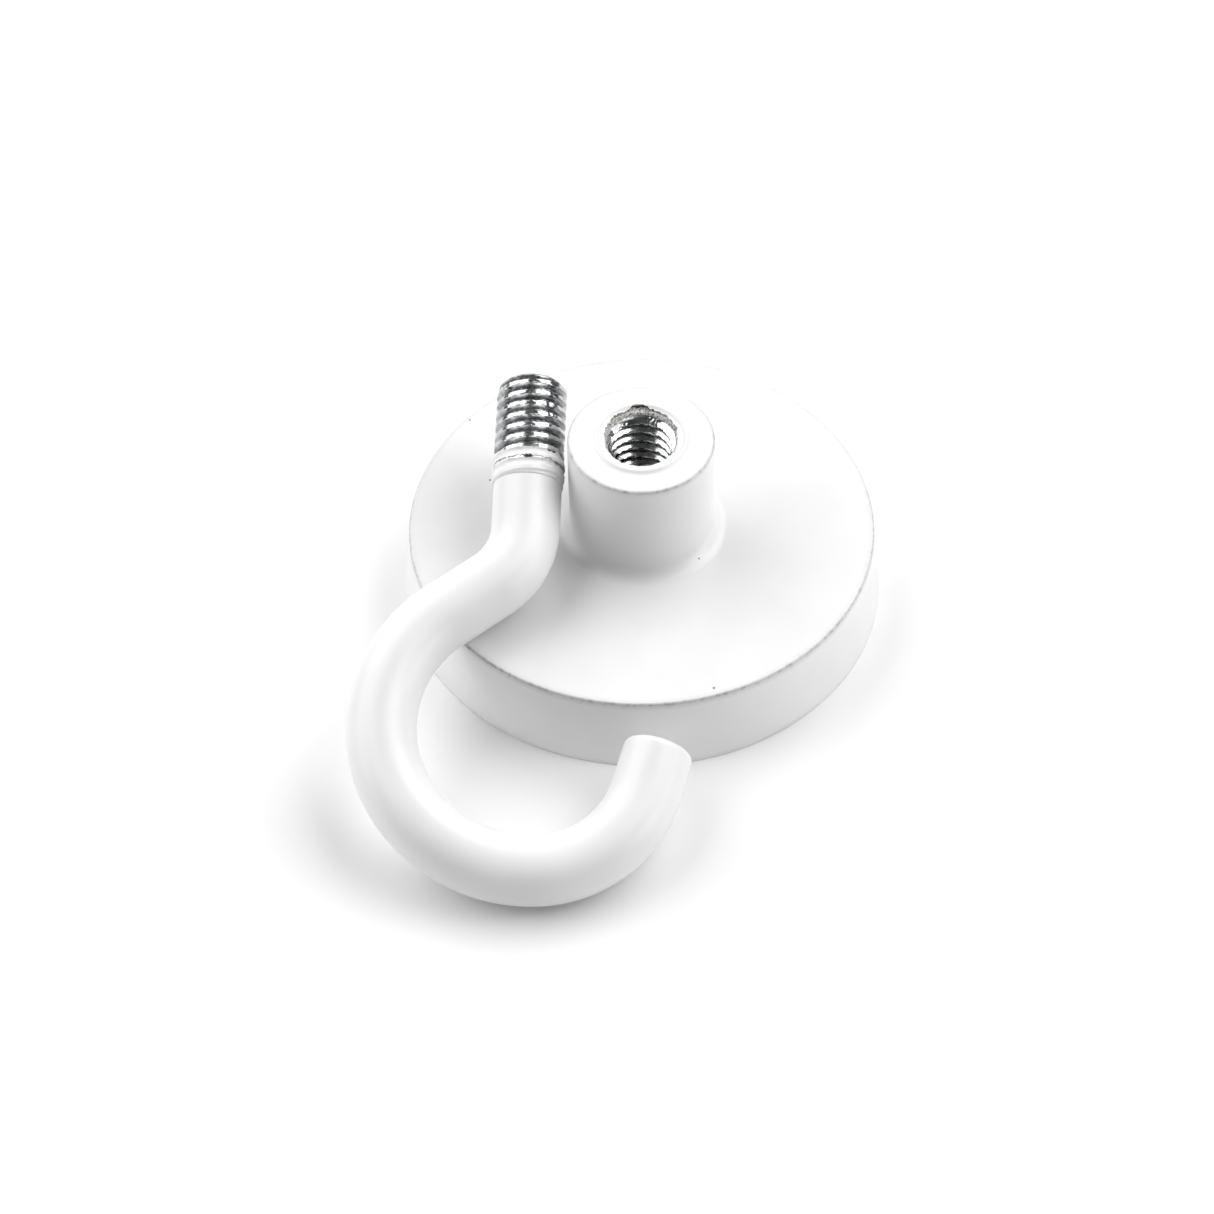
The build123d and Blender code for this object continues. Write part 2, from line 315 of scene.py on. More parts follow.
@dataclass(frozen=True)
class GroundSteel(Finish):
    """Pressed low-carbon steel cup, its rim ground flat.

    It gives the eye a grey rim with fine straight grinding lines and a few rust freckles.
    """

    metallic: float = 1.0
    roughness: float = 0.38
    bright: str = "#B9BBBC"
    dull: str = "#8F9193"
    rust: str = "#6A4A35"
    grit_mm: float = 0.25

    def build(self) -> bpy.types.Material:
        """Makes the material.

        Returns:
            The material.
        """
        material, tree, shader, place = self.start()
        along = add_node(tree, Kind.PLACE, {"Scale": (0.02, 1.0, 1.0)}, {"Vector": place})
        lines = add_node(tree, Kind.NOISE, {"Scale": grain(self.grit_mm), "Detail": 3.0}, {"Vector": along})
        ground = add_node(tree, Kind.RANGE, {1: 0.3, 2: 0.7}, {0: lines})
        colour = add_node(tree, Kind.MIX, {"data_type": "RGBA", 6: self.bright, 7: self.dull}, {0: ground})
        spots = add_node(tree, Kind.NOISE, {"Scale": grain(0.9), "Detail": 5.0}, {"Vector": place})
        freckle = add_node(tree, Kind.RANGE, {1: 0.66, 2: 0.74, 4: 0.7}, {0: spots})
        colour = add_node(tree, Kind.MIX, {"data_type": "RGBA", 7: self.rust}, {0: freckle, 6: colour})
        tree.links.new(colour, shader.inputs["Base Color"])
        rough = add_node(tree, Kind.RANGE, {1: 0.3, 2: 0.7, 3: self.roughness - 0.08,
                                            4: self.roughness + 0.1}, {0: lines})
        tree.links.new(rough, shader.inputs["Roughness"])
        grooves = add_node(tree, Kind.BUMP, {"Distance": 0.004 * MM, "Strength": 1.0}, {"Height": lines})
        tree.links.new(grooves, shader.inputs["Normal"])
        return material


@dataclass(frozen=True)
class NickelPlate(Finish):
    """Bright nickel plate over a sintered magnet.

    It gives the eye a warm mirror grey, softened by scuffs and hairline scratches from what it held.
    """

    metallic: float = 1.0
    roughness: float = 0.16
    bright: str = "#D3CEC4"
    dull: str = "#B4AEA3"
    scratch_mm: float = 0.18
    scratch_turns: tuple[float, ...] = (0.4, 1.5, 2.6)

    def build(self) -> bpy.types.Material:
        """Makes the material.

        Returns:
            The material.
        """
        material, tree, shader, place = self.start()
        cloud = add_node(tree, Kind.NOISE, {"Scale": grain(5.0), "Detail": 4.0}, {"Vector": place})
        tone = add_node(tree, Kind.RANGE, {1: 0.35, 2: 0.65}, {0: cloud})
        colour = add_node(tree, Kind.MIX, {"data_type": "RGBA", 6: self.bright, 7: self.dull}, {0: tone})
        tree.links.new(colour, shader.inputs["Base Color"])
        worn = add_node(tree, Kind.RANGE, {1: 0.3, 2: 0.7, 3: self.roughness - 0.04,
                                           4: self.roughness + 0.1}, {0: cloud})
        marks = None
        for angle in self.scratch_turns:
            turned = add_node(tree, Kind.PLACE, {"Rotation": (0.0, 0.0, angle)}, {"Vector": place})
            slim = add_node(tree, Kind.PLACE, {"Scale": (0.03, 1.0, 1.0)}, {"Vector": turned})
            hairs = add_node(tree, Kind.NOISE, {"Scale": grain(self.scratch_mm)}, {"Vector": slim})
            hair = add_node(tree, Kind.RANGE, {1: 0.68, 2: 0.74}, {0: hairs})
            marks = hair if marks is None else add_node(
                tree, Kind.MATH, {"operation": "MAXIMUM"}, {0: marks, 1: hair})
        rough = add_node(tree, Kind.MATH, {"operation": "MULTIPLY_ADD", 1: 0.25}, {0: marks, 2: worn})
        tree.links.new(rough, shader.inputs["Roughness"])
        dents = add_node(tree, Kind.BUMP, {"Distance": 0.004 * MM, "Strength": 1.0, "invert": True},
                         {"Height": marks})
        tree.links.new(dents, shader.inputs["Normal"])
        return material


@dataclass(frozen=True)
class EpoxyResin(Finish):
    """Black two-part epoxy, poured and cured.

    It gives the eye a dark gloss that has gone slightly dull with handling.
    """

    roughness: float = 0.36
    ior: float = 1.55
    black: str = "#171819"
    bloom: str = "#2C2D2F"

    def build(self) -> bpy.types.Material:
        """Makes the material.

        Returns:
            The material.
        """
        material, tree, shader, place = self.start()
        cloud = add_node(tree, Kind.NOISE, {"Scale": grain(1.6), "Detail": 4.0}, {"Vector": place})
        tone = add_node(tree, Kind.RANGE, {1: 0.4, 2: 0.7}, {0: cloud})
        colour = add_node(tree, Kind.MIX, {"data_type": "RGBA", 6: self.black, 7: self.bloom}, {0: tone})
        tree.links.new(colour, shader.inputs["Base Color"])
        rough = add_node(tree, Kind.RANGE, {1: 0.3, 2: 0.7, 3: self.roughness - 0.07,
                                            4: self.roughness + 0.12}, {0: cloud})
        tree.links.new(rough, shader.inputs["Roughness"])
        ripple = add_node(tree, Kind.NOISE, {"Scale": grain(0.7)}, {"Vector": place})
        skin = add_node(tree, Kind.BUMP, {"Distance": 0.01 * MM, "Strength": 1.0}, {"Height": ripple})
        tree.links.new(skin, shader.inputs["Normal"])
        return material


@dataclass(frozen=True)
class MattBoard(Finish):
    """White matt board: the plain floor, which only takes soft shadows."""

    roughness: float = 0.9
    white: str = "#F4F4F4"
    shade: str = "#F2F2F2"

    def build(self) -> bpy.types.Material:
        """Makes the material.

        Returns:
            The material.
        """
        material, tree, shader, place = self.start()
        cloud = add_node(tree, Kind.NOISE, {"Scale": grain(60.0)}, {"Vector": place})
        tone = add_node(tree, Kind.RANGE, {1: 0.3, 2: 0.7}, {0: cloud})
        colour = add_node(tree, Kind.MIX, {"data_type": "RGBA", 6: self.white, 7: self.shade}, {0: tone})
        tree.links.new(colour, shader.inputs["Base Color"])
        return material


# --------------------------------------------------------------------------- modelling


def ragged(points: np.ndarray, size: float, seed: float) -> np.ndarray:
    """Smooth noise at each point.

    Args:
        points: N by 3 points.
        size: Width of a feature, in the points' unit.
        seed: Shifts the noise, so that two uses differ.

    Returns:
        N values, about -1 to 1.
    """
    shift = Vector((seed, 1.7 * seed, -0.6 * seed))
    return np.array([noise.noise(Vector(p) / size + shift) for p in points])


def round_noise(turn: np.ndarray, waves: float, seed: float) -> np.ndarray:
    """Noise round a circle that meets itself, with about this many waves.

    Args:
        turn: Angles in radians.
        waves: How many waves go round.
        seed: Shifts the noise, so that two uses differ.

    Returns:
        One value for each angle, about -1 to 1.
    """
    reach = waves / math.pi
    points = np.stack([np.cos(turn) * reach, np.sin(turn) * reach, np.zeros_like(turn)], 1)
    return ragged(points, 1.0, seed)


def arc(centre: tuple[float, float], radius: float, start: float, end: float,
        steps: int) -> list[tuple[float, float]]:
    """Points of an arc in the outline's plane, angles in degrees.

    Args:
        centre: Its centre.
        radius: Its radius.
        start: Angle of its first point.
        end: Angle of its last point.
        steps: How many straight runs stand for it.

    Returns:
        Its points, with its start.
    """
    made = []
    for i in range(steps + 1):
        angle = math.radians(start + (end - start) * i / steps)
        made.append((centre[0] + radius * math.cos(angle), centre[1] + radius * math.sin(angle)))
    return made


def line(start: tuple[float, float], end: tuple[float, float],
         steps: int) -> list[tuple[float, float]]:
    """Points of a straight run in the outline's plane, without its start."""
    return [(start[0] + (end[0] - start[0]) * i / steps, start[1] + (end[1] - start[1]) * i / steps)
            for i in range(1, steps + 1)]


class Workpiece:
    """A mesh under work: a ring of edges drawn along by extrusions and spins, then trimmed."""

    def __init__(self, name: str, segments: int) -> None:
        """Names the piece and sets how many edges its ring has.

        Args:
            name: Name of the object and of its mesh.
            segments: How many edges go round the ring.
        """
        self.name = name
        self.segments = segments
        self.piece: bpy.types.Object | None = None
        self.radius = 0.0
        self.centre = Vector()

    def start(self, radius: float, centre: tuple[float, float, float], tilt: float = 0.0) -> None:
        """Adds the first ring and opens it for editing.

        Args:
            radius: Ring radius in millimetres.
            centre: Its centre in millimetres.
            tilt: Turn about X in radians, from a ring that lies flat.
        """
        bpy.ops.object.select_all(action="DESELECT")
        bpy.ops.mesh.primitive_circle_add(vertices=self.segments, radius=radius * MM,
                                          location=[c * MM for c in centre], rotation=(tilt, 0.0, 0.0))
        self.piece = bpy.context.active_object
        self.piece.name = self.name
        self.piece.data.name = self.name
        bpy.ops.object.transform_apply(location=True, rotation=True, scale=True)
        bpy.ops.object.mode_set(mode="EDIT")
        self.radius = radius
        self.centre = Vector(centre)

    def draw(self, step: tuple[float, float, float], radius: float) -> None:
        """Extrudes the ring by a step in millimetres, to a new radius.

        Args:
            step: How far the ring moves.
            radius: Its radius there.
        """
        bpy.ops.mesh.extrude_region_move(TRANSFORM_OT_translate={"value": [c * MM for c in step]})
        self.centre = self.centre + Vector(step)
        self.grow(radius)

    def grow(self, radius: float) -> None:
        """Scales the ring about its own centre to a new radius.

        Args:
            radius: The new radius in millimetres.
        """
        if abs(radius - self.radius) > 1e-9:
            share = radius / self.radius
            bpy.ops.transform.resize(value=(share, share, share), center_override=self.centre * MM)
            self.radius = radius

    def turn_up(self, outline: Iterable[tuple[float, float]]) -> None:
        """Draws the ring up a (radius, height) outline round +Z."""
        for radius, height in outline:
            self.draw((0.0, 0.0, height - self.centre.z), radius)

    def bend(self, centre: tuple[float, float], degrees: float, steps: int) -> None:
        """Spins the ring about a line along +Z through a centre in millimetres.

        The spin operator turns clockwise for a positive angle, so it gets the angle's opposite.

        Args:
            centre: Where the line stands, in X and Y.
            degrees: Angle to turn, anticlockwise from above.
            steps: How many rings it adds.
        """
        pivot = Vector((centre[0], centre[1], 0.0))
        bpy.ops.mesh.spin(steps=steps, angle=-math.radians(degrees), center=pivot * MM, axis=(0, 0, 1))
        self.centre = pivot + Matrix.Rotation(math.radians(degrees), 3, "Z") @ (self.centre - pivot)

    def close_end(self) -> None:
        """Closes the ring with a fan of faces."""
        bpy.ops.mesh.edge_face_add()
        bpy.ops.mesh.poke()

    def select(self, rule: Callable[[np.ndarray], np.ndarray], faces: bool = False) -> None:
        """Selects vertices, or faces by their centres, that a rule picks by place.

        Args:
            rule: Takes N by 3 places in millimetres, gives N true or false values.
            faces: True to pick faces.
        """
        bpy.ops.object.mode_set(mode="EDIT")
        bpy.ops.mesh.select_mode(type="FACE" if faces else "VERT")
        bpy.ops.mesh.select_all(action="DESELECT")
        bpy.ops.object.mode_set(mode="OBJECT")
        mesh = self.piece.data
        group = mesh.polygons if faces else mesh.vertices
        places = np.empty(len(group) * 3)
        group.foreach_get("center" if faces else "co", places)
        group.foreach_set("select", rule(places.reshape(-1, 3) / MM))
        bpy.ops.object.mode_set(mode="EDIT")

    def places(self) -> np.ndarray:
        """Every vertex's place in millimetres, N by 3.

        Returns:
            The places.
        """
        found = np.empty(len(self.piece.data.vertices) * 3)
        self.piece.data.vertices.foreach_get("co", found)
        return found.reshape(-1, 3) / MM

    def reshape(self, rule: Callable[[np.ndarray], np.ndarray]) -> None:
        """Moves every vertex by a rule that takes and gives places in millimetres.

        Args:
            rule: Takes N by 3 places and gives the same places, moved.
        """
        bpy.ops.object.mode_set(mode="OBJECT")
        moved = rule(self.places())
        self.piece.data.vertices.foreach_set("co", (moved * MM).astype(np.float32).ravel())
        self.piece.data.update()

    def mark(self, name: str, values: np.ndarray) -> None:
        """Writes one wear map, a value from 0 to 1 for each vertex.

        Args:
            name: The attribute's name.
            values: One value for each vertex, cut to 0 and 1.
        """
        bpy.ops.object.mode_set(mode="OBJECT")
        layer = self.piece.data.attributes.new(name, "FLOAT", "POINT")
        layer.data.foreach_set("value", np.clip(values, 0, 1).astype(np.float32))

    def face_outwards(self) -> None:
        """Turns every face the same way, outwards."""
        bpy.ops.object.mode_set(mode="EDIT")
        bpy.ops.mesh.select_all(action="SELECT")
        bpy.ops.mesh.normals_make_consistent(inside=False)
        bpy.ops.object.mode_set(mode="OBJECT")

    def turn_out(self, judge: Callable[[bpy.types.MeshPolygon], bool]) -> None:
        """Flips an open skin whose upper faces look down.

        Args:
            judge: Picks the faces that tell which way the skin looks.
        """
        if sum(face.normal.z for face in self.piece.data.polygons if judge(face)) < 0:
            bpy.ops.object.mode_set(mode="EDIT")
            bpy.ops.mesh.select_all(action="SELECT")
            bpy.ops.mesh.flip_normals()
            bpy.ops.object.mode_set(mode="OBJECT")

    def thicken(self, thickness: float) -> None:
        """Gives an open skin its thickness, inwards.

        Args:
            thickness: Thickness in millimetres.
        """
        bpy.ops.object.mode_set(mode="OBJECT")
        modifier = self.piece.modifiers.new("wall", "SOLIDIFY")
        modifier.thickness = thickness * MM
        modifier.offset = -1.0
        modifier.use_even_offset = True
        bpy.ops.object.modifier_apply(modifier=modifier.name)

    def finish(self, material: bpy.types.Material, body: Body, replaced: str,
               angle: float = 40.0) -> bpy.types.Object:
        """Smooths and dresses the piece and hangs it on its body.

        Args:
            material: Its finish.
            body: The body that it rides on.
            replaced: The frame's node that it stands for.
            angle: Edges sharper than this stay sharp.

        Returns:
            The finished object.
        """
        bpy.ops.object.mode_set(mode="OBJECT")
        bpy.ops.object.shade_smooth_by_angle(angle=math.radians(angle))
        self.piece.data.materials.clear()
        self.piece.data.materials.append(material)
        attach(self.piece, body.value)
        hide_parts(replaced)
        log.info("%s: %d faces for %s", self.name, len(self.piece.data.polygons), replaced)
        return self.piece


def dress(node: str, material: bpy.types.Material) -> None:
    """Gives a node of the frame its finish.

    Args:
        node: Name of the node.
        material: Its finish.
    """
    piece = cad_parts[node]
    piece.data.materials.clear()
    piece.data.materials.append(material)
    log.info("%s: dressed in %s", node, material.name)


# --------------------------------------------------------------------------- the pot


@dataclass
class Pot:
    """Cup, bushing, magnet and resin ring with their finishes."""

    base_r: float = 20.8
    top_r: float = 20.0
    height: float = 7.2
    edge: float = 0.25
    neck_r: float = 6.17
    neck_top: float = 17.6
    neck_edge: float = 0.3
    foot_r: float = 1.2
    coat: float = 0.13
    steel_under: float = 0.14
    bushing_r: float = 4.5
    fine_end: float = 11.0
    drill_point: float = 1.5
    lip_r: float = 3.78
    lip_rise: float = 0.2
    lip_width: float = 0.22
    mouth_r: float = 3.03
    pitch: float = 1.0
    minor_r: float = 2.5
    root_r: float = 3.03
    chamfer_r: float = 3.15
    crest_land: float = 0.2
    thread_phase: float = 0.0156
    drill_end: float = 7.46
    cavity_r: float = 17.76
    magnet_r: float = 16.16
    resin_back: float = 0.3
    resin_creep: float = 0.18
    resin_sag: float = 0.22
    cavity_top: float = 4.66

    def lip_start(self) -> float:
        """Radius where the neck's top starts to swell into the lip round the mouth."""
        return self.lip_r + 3 * self.lip_width

    def outline(self) -> list[tuple[float, float]]:
        """Outer skin of the coating, from the foot of the cup to the mouth of the neck.

        Returns:
            Its points, each a radius and a height.
        """
        foot_z = self.height + self.foot_r
        edge_z = self.height - self.edge
        crown_z = self.neck_top - self.neck_edge
        crown_r = self.neck_r - self.neck_edge
        flat_r = self.neck_r + self.foot_r
        points = [(self.base_r, 0.1)]
        points += line((self.base_r, 0.1), (self.top_r, edge_z), 14)
        points += arc((self.top_r - self.edge, edge_z), self.edge, 0, 90, 7)[1:]
        points += line((self.top_r - self.edge, self.height), (flat_r, self.height), 34)
        points += arc((flat_r, foot_z), self.foot_r, 270, 180, 12)[1:]
        points += line((self.neck_r, foot_z), (self.neck_r, crown_z), 22)
        points += arc((crown_r, crown_z), self.neck_edge, 0, 90, 7)[1:]
        points += line((crown_r, self.neck_top), (self.lip_start(), self.neck_top), 8)
        points += line((self.lip_start(), self.neck_top), (self.mouth_r, self.neck_top), 34)
        return points

    def torn_edge(self, turn: np.ndarray) -> np.ndarray:
        """Radius of the coating's torn edge round the mouth, at each angle.

        Args:
            turn: Angles in radians.

        Returns:
            The radius at each angle.
        """
        behind = np.maximum(np.sin(turn), 0.0) ** 1.2
        notch = np.exp(-((turn - math.radians(93)) / math.radians(12)) ** 4)
        left = np.exp(-((turn - math.radians(130)) / math.radians(22)) ** 2)
        torn = 0.08 * round_noise(turn, 9, 3.0) + 0.13 * round_noise(turn, 48, 8.0)
        torn = torn + 0.16 * (1 - behind) * round_noise(turn, 64, 14.0)
        return self.mouth_r + 0.42 * behind + 0.33 * notch + 0.1 * left + torn

    def top_height(self, radius: np.ndarray) -> np.ndarray:
        """Height of the neck's coated top at each radius: a soft lip, then down the chamfer.

        Args:
            radius: Distances from the axis.

        Returns:
            The height at each.
        """
        lip = self.lip_rise * np.exp(-((radius - self.lip_r) / self.lip_width) ** 2)
        moat = 0.02 * np.exp(-((radius - self.lip_r - 0.5) / 0.2) ** 2)
        top = self.neck_top + lip - moat
        slope = radius + self.neck_top - self.chamfer_r + 0.04
        soft = 0.08
        return -soft * np.logaddexp(-top / soft, -slope / soft)

    def shape_coat(self, places: np.ndarray) -> np.ndarray:
        """Tears the mouth, raises the lip, and lets the skin wander by hundredths.

        Args:
            places: N by 3 places in millimetres.

        Returns:
            The same places, moved.
        """
        x, y, z = places.T
        radius = np.hypot(x, y)
        turn = np.arctan2(y, x)
        mouth = (radius < self.lip_start() + 1e-4) & (z > self.height + 2 * self.foot_r)
        share = (self.lip_start() - radius) / (self.lip_start() - self.mouth_r)
        torn = self.lip_start() - share * (self.lip_start() - self.torn_edge(turn))
        new_r = np.where(mouth, torn, radius)
        new_z = np.where(mouth, self.top_height(new_r), z)
        front = np.exp(-((turn - math.radians(-42)) / math.radians(16)) ** 2)
        bead = 0.09 * front * np.exp(-((radius - 6.98) / 0.13) ** 2)
        new_z = np.where((z < self.height + 0.4) & (radius < 9), new_z + bead, new_z)
        wander = 0.012 * ragged(places, 2.6, 5.0) + 0.02 * ragged(places, 9.0, 11.0)
        cup_wall = (z < self.height - 0.02) & (z > 0.3)
        wall = cup_wall | (z > self.height + 1.0) & (radius > self.neck_r - 0.1)
        new_r = new_r + np.where(wall, wander, 0.35 * wander)
        new_z = np.maximum(new_z + np.where(wall, 0.0, wander), 0.0)
        scale = new_r / radius
        return np.stack([x * scale, y * scale, new_z], 1)

    def bare_map(self, places: np.ndarray) -> np.ndarray:
        """A grey line along the cup's and the neck's top edges: partly powder drawn back from the edge,
        partly painted shade of the edges' rounded undersides, stronger towards the front right.

        Args:
            places: N by 3 places in millimetres.

        Returns:
            How strong the grey line is at each place, thin paint and painted shade together, 0 where
            the coating is whole and unshaded.
        """
        x, y, z = places.T
        radius = np.hypot(x, y)
        turn = np.arctan2(y, x)
        patches = 0.5 + 0.5 * round_noise(turn, 24, 20.0)
        front = 0.5 + 0.5 * np.cos(turn - math.radians(-60))
        # Painted shade: the rim and crown lines darken the rounded top edges, weighted by front towards the
        # front right.
        rim = np.exp(-(np.hypot(radius - self.top_r + 0.07, z - self.height + 0.12) / 0.17) ** 2)
        crown = np.exp(-(np.hypot(radius - self.neck_r + 0.09, z - self.neck_top + 0.12) / 0.15) ** 2)
        crown_thin_paint_and_shade = 0.55 + 0.7 * patches ** 2 * (0.3 + 0.7 * front)
        return rim * (0.62 + 0.3 * patches * front) + crown * crown_thin_paint_and_shade

    def make_coat(self, material: bpy.types.Material) -> bpy.types.Object:
        """Coating over cup and neck: one skin turned up its outline, torn at the mouth, thickened.

        Args:
            material: Its finish.

        Returns:
            The finished object.
        """
        work = Workpiece("pot_powder_coat", 320)
        outline = self.outline()
        work.start(self.base_r - 0.06, (0.0, 0.0, 0.0))
        work.turn_up(outline)
        work.face_outwards()
        work.turn_out(lambda face: abs(face.normal.z) > 0.9)
        work.reshape(self.shape_coat)
        # This map holds thin paint and the painted shade along the top edges.
        work.mark("thin_paint_and_edge_shade_mask", self.bare_map(work.places()))
        work.thicken(self.coat)
        return work.finish(material, Body.POT, "cup_coating")

    def groove_share(self, turn: np.ndarray, z: np.ndarray) -> np.ndarray:
        """How deep the thread's groove is at each angle and height, 0 at the crest, 1 at the root.

        Args:
            turn: Angles in radians.
            z: Heights in millimetres.

        Returns:
            The share of the groove's depth.
        """
        climb = self.pitch * turn / (2 * math.pi)
        offset = (z - self.thread_phase - climb + self.pitch / 2) % self.pitch
        gap = np.abs(offset - self.pitch / 2)
        mouth = (self.pitch - self.crest_land) / 2
        return np.clip((mouth - gap) / (mouth - 0.06), 0, 1)

    def shape_bushing(self, places: np.ndarray) -> np.ndarray:
        """Cuts the thread into the bore and roughens the bare mouth.

        Args:
            places: N by 3 places in millimetres.

        Returns:
            The same places, moved.
        """
        x, y, z = places.T
        radius = np.hypot(x, y)
        turn = np.arctan2(y, x)
        steel_top = self.neck_top - self.steel_under
        bore = (radius > self.minor_r - 0.02) & (radius < self.chamfer_r + 0.01) & (z > self.drill_end)
        fade = np.clip((z - self.drill_end - 0.3) / 0.8, 0, 1)
        cut = self.minor_r + (self.root_r - self.minor_r) * self.groove_share(turn, z) * fade
        new_r = np.where(bore, np.maximum(radius, cut), radius)
        mouth = (radius < 5.0) & (z > steel_top - 0.75)
        coarse = 0.05 * ragged(places, 0.45, 31.0) + 0.03 * ragged(places, 0.17, 33.0)
        new_z = z + np.where(mouth, np.minimum(coarse, 0.0), 0.0)
        chamfer = mouth & (radius < self.chamfer_r + 0.05)
        new_r = new_r + np.where(chamfer, np.maximum(-coarse, 0.0), 0.0)
        scale = new_r / np.maximum(radius, 1e-6)
        return np.stack([x * scale, y * scale, new_z], 1)

    def make_bushing(self, material: bpy.types.Material) -> bpy.types.Object:
        """Bushing: turned outside, a bare chamfered mouth, the thread and the drilled end.

        Args:
            material: Its finish.

        Returns:
            The finished object.
        """
        steel_top = self.neck_top - self.steel_under
        steel_r = self.neck_r - self.steel_under
        shelf = self.height - self.steel_under
        chamfer_z = steel_top - (self.chamfer_r - self.minor_r)
        work = Workpiece("threaded_neck_bushing", 220)
        work.start(self.bushing_r, (0.0, 0.0, self.cavity_top))
        outline = line((self.bushing_r, self.cavity_top), (self.bushing_r, shelf), 2)
        outline += [(steel_r, shelf)]
        outline += line((steel_r, shelf), (steel_r, steel_top - self.neck_edge), 3)
        outline += [(steel_r - self.neck_edge, steel_top), (4.6, steel_top)]
        outline += line((4.6, steel_top), (self.chamfer_r, steel_top), 20)
        outline += line((self.chamfer_r, steel_top), (self.minor_r, chamfer_z), 14)
        outline += line((self.minor_r, chamfer_z), (self.minor_r, self.fine_end), 140)
        outline += line((self.minor_r, self.fine_end), (self.minor_r, self.drill_end), 40)
        outline += line((self.minor_r, self.drill_end), (0.05, self.drill_end - self.drill_point), 5)
        work.turn_up(outline)
        work.close_end()
        near = self.bushing_r - 0.1
        work.select(lambda p: (np.hypot(p[:, 0], p[:, 1]) > near) & (p[:, 2] < self.cavity_top + 0.01))
        work.close_end()
        work.face_outwards()
        work.reshape(self.shape_bushing)
        places = work.places()
        x, y, z = places.T
        radius = np.hypot(x, y)
        share = self.groove_share(np.arctan2(y, x), z)
        inside = (radius < 3.2) & (z < steel_top - 0.6)
        # Painted shade: the root mask darkens the bore thread's roots towards near-black.
        work.mark("root", np.where(inside, np.maximum(share - 0.55, 0) * 2.2, 0.0))
        work.mark("raw", np.clip((z - steel_top + 0.34) / 0.16, 0, 1) * (radius > 2.7))
        return work.finish(material, Body.POT, "threaded_bushing")

    def make_resin(self, material: bpy.types.Material) -> bpy.types.Object:
        """Resin ring between magnet and wall, its face drawn up the walls as it set.

        Args:
            material: Its finish.

        Returns:
            The finished object.
        """
        width = self.cavity_r - self.magnet_r
        low = self.resin_back - self.resin_creep
        work = Workpiece("resin_ring", 240)
        work.start(self.cavity_r, (0.0, 0.0, self.cavity_top))
        outline = line((self.cavity_r, self.cavity_top), (self.cavity_r, low), 4)
        for i in range(1, 17):
            share = i / 16
            sag = self.resin_sag * (4 * share * (1 - share)) ** 0.6
            outline.append((self.cavity_r - width * share, low + sag))
        outline += line((self.magnet_r, low), (self.magnet_r, self.cavity_top), 4)
        work.turn_up(outline)
        work.select(lambda p: p[:, 2] > self.cavity_top - 1e-3)
        bpy.ops.mesh.bridge_edge_loops()
        work.face_outwards()

        def sag_unevenly(places: np.ndarray) -> np.ndarray:
            """Lets the poured face run a little high and low round the ring.

            Args:
                places: N by 3 places in millimetres.

            Returns:
                The same places, moved.
            """
            face = places[:, 2] < 1.0
            places[:, 2] += np.where(face, 0.05 * ragged(places, 3.0, 41.0), 0.0)
            return places

        work.reshape(sag_unevenly)
        return work.finish(material, Body.POT, "centring_ring", 60.0)

    def build(self) -> None:
        """Makes and dresses the pot's pieces."""
        specks = ((-2.06, 20.1, 7.1, 0.17), (13.93, 14.54, 7.1, 0.16), (5.87, -18.26, 7.2, 0.13),
                  (4.85, -4.42, 7.45, 0.12), (-13.19, 5.01, 7.2, 0.12), (-15.2, 12.28, 7.2, 0.1))
        paint = PowderCoat("white_polyester_powder_coat_pot", specks=specks).build()
        self.make_coat(paint)
        self.make_bushing(ThreadSteel("tapped_steel_bushing").build())
        resin = EpoxyResin("black_poured_epoxy").build()
        self.make_resin(resin)
        dress("magnet_adhesive", resin)
        dress("steel_cup", GroundSteel("pressed_ground_steel").build())
        dress("magnet_disc", NickelPlate("nickel_plated_magnet").build())


# --------------------------------------------------------------------------- the hook


